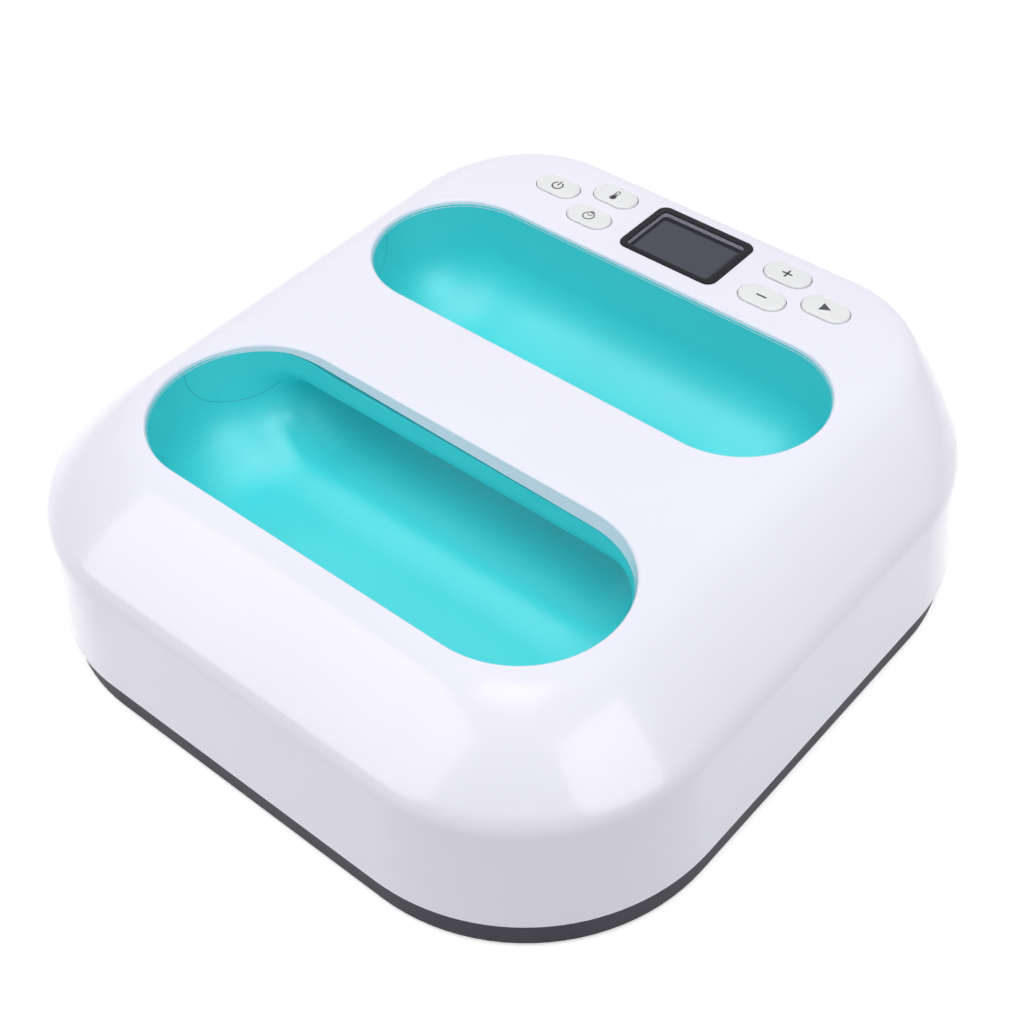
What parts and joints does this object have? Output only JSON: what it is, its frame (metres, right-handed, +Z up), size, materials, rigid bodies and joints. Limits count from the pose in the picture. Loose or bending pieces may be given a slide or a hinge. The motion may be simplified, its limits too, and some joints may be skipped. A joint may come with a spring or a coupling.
{
  "type": "handheld heat press",
  "caption": "Square handheld heat press: white housing with two finger wells and a grip bridge, display and push buttons behind, dark rim and heated plate below.",
  "frame": {"origin": "centre of the pressing face, on the surface that the press stands on", "axes": "+Z up from the pressing face, +X along the grip towards the start button, +Y from the front edge to the control panel and mains inlet"},
  "size_m": [0.286, 0.2894, 0.0929],
  "materials": {
    "white_shell": "glossy injection-moulded ABS, very slightly lavender white",
    "dark_rim": "satin dark blue-grey moulded plastic",
    "teal_plastic": "satin turquoise moulded plastic",
    "frame_black": "semi-gloss black moulded frame",
    "window_glass": "clear tinted acrylic window",
    "display_grey": "unlit liquid crystal glass",
    "button_white": "satin off-white keys with dark grey printed symbols",
    "board_green": "green solder-masked circuit board",
    "black_plastic": "black moulded plastic",
    "relay_blue": "blue-black moulded relay case",
    "transformer_core": "yellow tape over a ferrite core",
    "terminal_green": "green moulded terminal block",
    "fibre_board": "off-white ceramic fibre board",
    "plate_metal": "cast aluminium with a dark non-stick coating",
    "element_sheath": "heat-darkened steel sheath",
    "sensor_brass": "plain brass lug",
    "steel": "zinc-plated steel"
  },
  "bodies": {
    "press": {"top_housing": "white_shell", "base_rim": "dark_rim", "handle_well": "teal_plastic", "grip_liner": "teal_plastic", "display_bezel": "frame_black", "display_window": "window_glass", "lcd_module": "display_grey", "control_board": "board_green", "tact_switches": "black_plastic", "buzzer": "black_plastic", "power_board": "board_green", "relay": "relay_blue", "power_transformer": "transformer_core", "terminal_block": "terminal_green", "board_spacers": "steel", "power_inlet": "black_plastic", "heat_shield": "steel", "insulation_board": "fibre_board", "heat_plate": "plate_metal", "heating_element": "element_sheath", "thermal_cutout": "black_plastic", "temperature_sensor": "sensor_brass", "plate_standoffs": "steel", "housing_screws": "steel", "shield_screws": "steel", "plate_screws": "steel", "well_screws": "steel", "grip_screws": "steel", "board_screws": "steel", "inlet_screws": "steel"},
    "power_button": {"power_button": "button_white"},
    "temperature_button": {"temperature_button": "button_white"},
    "timer_button": {"timer_button": "button_white"},
    "plus_button": {"plus_button": "button_white"},
    "minus_button": {"minus_button": "button_white"},
    "start_button": {"start_button": "button_white"}
  },
  "joints": [
    {"name": "power_press", "type": "slide", "parent": "press", "child": "power_button", "axis": [0, 0, -1], "range_m": [0, 0.0008], "stiffness_N_per_m": 700, "springref_m": -0.0006},
    {"name": "temperature_press", "type": "slide", "parent": "press", "child": "temperature_button", "axis": [0, 0, -1], "range_m": [0, 0.0008], "stiffness_N_per_m": 700, "springref_m": -0.0006},
    {"name": "timer_press", "type": "slide", "parent": "press", "child": "timer_button", "axis": [0, 0, -1], "range_m": [0, 0.0008], "stiffness_N_per_m": 700, "springref_m": -0.0006},
    {"name": "plus_press", "type": "slide", "parent": "press", "child": "plus_button", "axis": [0, 0, -1], "range_m": [0, 0.0008], "stiffness_N_per_m": 700, "springref_m": -0.0006},
    {"name": "minus_press", "type": "slide", "parent": "press", "child": "minus_button", "axis": [0, 0, -1], "range_m": [0, 0.0008], "stiffness_N_per_m": 700, "springref_m": -0.0006},
    {"name": "start_press", "type": "slide", "parent": "press", "child": "start_button", "axis": [0, 0, -1], "range_m": [0, 0.0008], "stiffness_N_per_m": 700, "springref_m": -0.0006}
  ]
}
